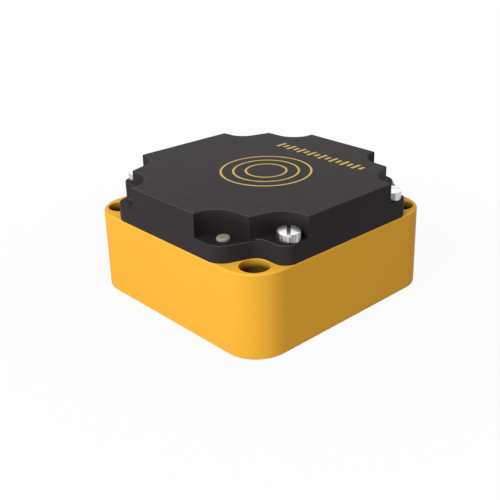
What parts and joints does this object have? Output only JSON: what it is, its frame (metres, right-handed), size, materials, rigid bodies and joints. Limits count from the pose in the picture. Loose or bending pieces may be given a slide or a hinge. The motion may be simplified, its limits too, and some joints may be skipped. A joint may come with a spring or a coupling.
{
  "type": "inductive proximity sensor",
  "caption": "Square block inductive sensor: yellow terminal housing with corner bolt holes, black screwed-on sensing head with captive screws, round side plug connector.",
  "frame": {"origin": "centre of the flat mounting face, on the axis of the sensing face", "axes": "+Z out of the sensing face, +Y out of the plug connector, +X to the side so that the frame is right-handed"},
  "size_m": [0.08, 0.1063, 0.04],
  "materials": {
    "yellow_moulding": "fine satin moulding",
    "black_moulding": "fine satin moulding",
    "seal_rubber": "matt",
    "screw_steel": "bright turned",
    "ring_steel": "zinc plated",
    "insert_brass": "turned",
    "clear_guide": "clear, slightly smoky",
    "diode_lens": "clear",
    "contact_gold": "gold plated",
    "lead_brown": "soft insulation",
    "lead_white": "soft insulation",
    "lead_blue": "soft insulation",
    "lead_black": "soft insulation",
    "ferrite": "sintered",
    "bobbin_plastic": "moulded",
    "copper_winding": "enamelled wire",
    "board_green": "solder resist",
    "chip_black": "moulded",
    "resin": "cast resin",
    "terminal_grey": "moulded",
    "nickel_shell": "nickel plated",
    "carrier_black": "moulded"
  },
  "bodies": {
    "root": {"base_housing": "yellow_moulding", "board_chips": "chip_black", "circuit_board": "board_green", "clamp_screw_1": "ring_steel", "clamp_screw_2": "ring_steel", "clamp_screw_3": "ring_steel", "clamp_screw_4": "ring_steel", "clamping_cage_1": "insert_brass", "clamping_cage_2": "insert_brass", "clamping_cage_3": "insert_brass", "clamping_cage_4": "insert_brass", "coil_bobbin": "bobbin_plastic", "coil_winding": "copper_winding", "connector_seal": "seal_rubber", "connector_shell": "nickel_shell", "contact_carrier": "carrier_black", "contact_pin_1": "contact_gold", "contact_pin_2": "contact_gold", "contact_pin_3": "contact_gold", "contact_pin_4": "contact_gold", "ferrite_core": "ferrite", "head_gasket": "seal_rubber", "indicator_diode_1": "diode_lens", "indicator_diode_2": "diode_lens", "indicator_diode_3": "diode_lens", "indicator_diode_4": "diode_lens", "lead_wire_1": "lead_brown", "lead_wire_2": "lead_white", "lead_wire_3": "lead_blue", "lead_wire_4": "lead_black", "light_guide_1": "clear_guide", "light_guide_2": "clear_guide", "light_guide_3": "clear_guide", "light_guide_4": "clear_guide", "plug_pins": "contact_gold", "potting_resin": "resin", "sensor_head": "black_moulding", "terminal_block": "terminal_grey", "thread_insert_1": "insert_brass", "thread_insert_2": "insert_brass", "thread_insert_3": "insert_brass", "thread_insert_4": "insert_brass"},
    "captive_ring_1": {"captive_ring_1": "ring_steel"},
    "head_screw_1": {"head_screw_1": "screw_steel"},
    "captive_ring_2": {"captive_ring_2": "ring_steel"},
    "head_screw_2": {"head_screw_2": "screw_steel"},
    "captive_ring_3": {"captive_ring_3": "ring_steel"},
    "head_screw_3": {"head_screw_3": "screw_steel"},
    "captive_ring_4": {"captive_ring_4": "ring_steel"},
    "head_screw_4": {"head_screw_4": "screw_steel"}
  },
  "joints": [
    {"name": "screw_1_lift", "type": "slide", "parent": "root", "child": "captive_ring_1", "axis": [0, 0, 1], "range_m": [0, 0.0056]},
    {"name": "screw_1_turn", "type": "hinge", "parent": "captive_ring_1", "child": "head_screw_1", "pos_m": [0.03615, -0.02272, 0.0331], "axis": [0, 0, 1], "range_deg": [0, 2880]},
    {"name": "screw_2_lift", "type": "slide", "parent": "root", "child": "captive_ring_2", "axis": [0, 0, 1], "range_m": [0, 0.0056]},
    {"name": "screw_2_turn", "type": "hinge", "parent": "captive_ring_2", "child": "head_screw_2", "pos_m": [0.03615, 0.02272, 0.0331], "axis": [0, 0, 1], "range_deg": [0, 2880]},
    {"name": "screw_3_lift", "type": "slide", "parent": "root", "child": "captive_ring_3", "axis": [0, 0, 1], "range_m": [0, 0.0056]},
    {"name": "screw_3_turn", "type": "hinge", "parent": "captive_ring_3", "child": "head_screw_3", "pos_m": [-0.03615, 0.02272, 0.0331], "axis": [0, 0, 1], "range_deg": [0, 2880]},
    {"name": "screw_4_lift", "type": "slide", "parent": "root", "child": "captive_ring_4", "axis": [0, 0, 1], "range_m": [0, 0.0056]},
    {"name": "screw_4_turn", "type": "hinge", "parent": "captive_ring_4", "child": "head_screw_4", "pos_m": [-0.03615, -0.02272, 0.0331], "axis": [0, 0, 1], "range_deg": [0, 2880]}
  ],
  "couplings": [
    {"joint": "screw_1_turn", "follows": "screw_1_lift", "rad_per_m": 8976},
    {"joint": "screw_2_turn", "follows": "screw_2_lift", "rad_per_m": 8976},
    {"joint": "screw_3_turn", "follows": "screw_3_lift", "rad_per_m": 8976},
    {"joint": "screw_4_turn", "follows": "screw_4_lift", "rad_per_m": 8976}
  ]
}
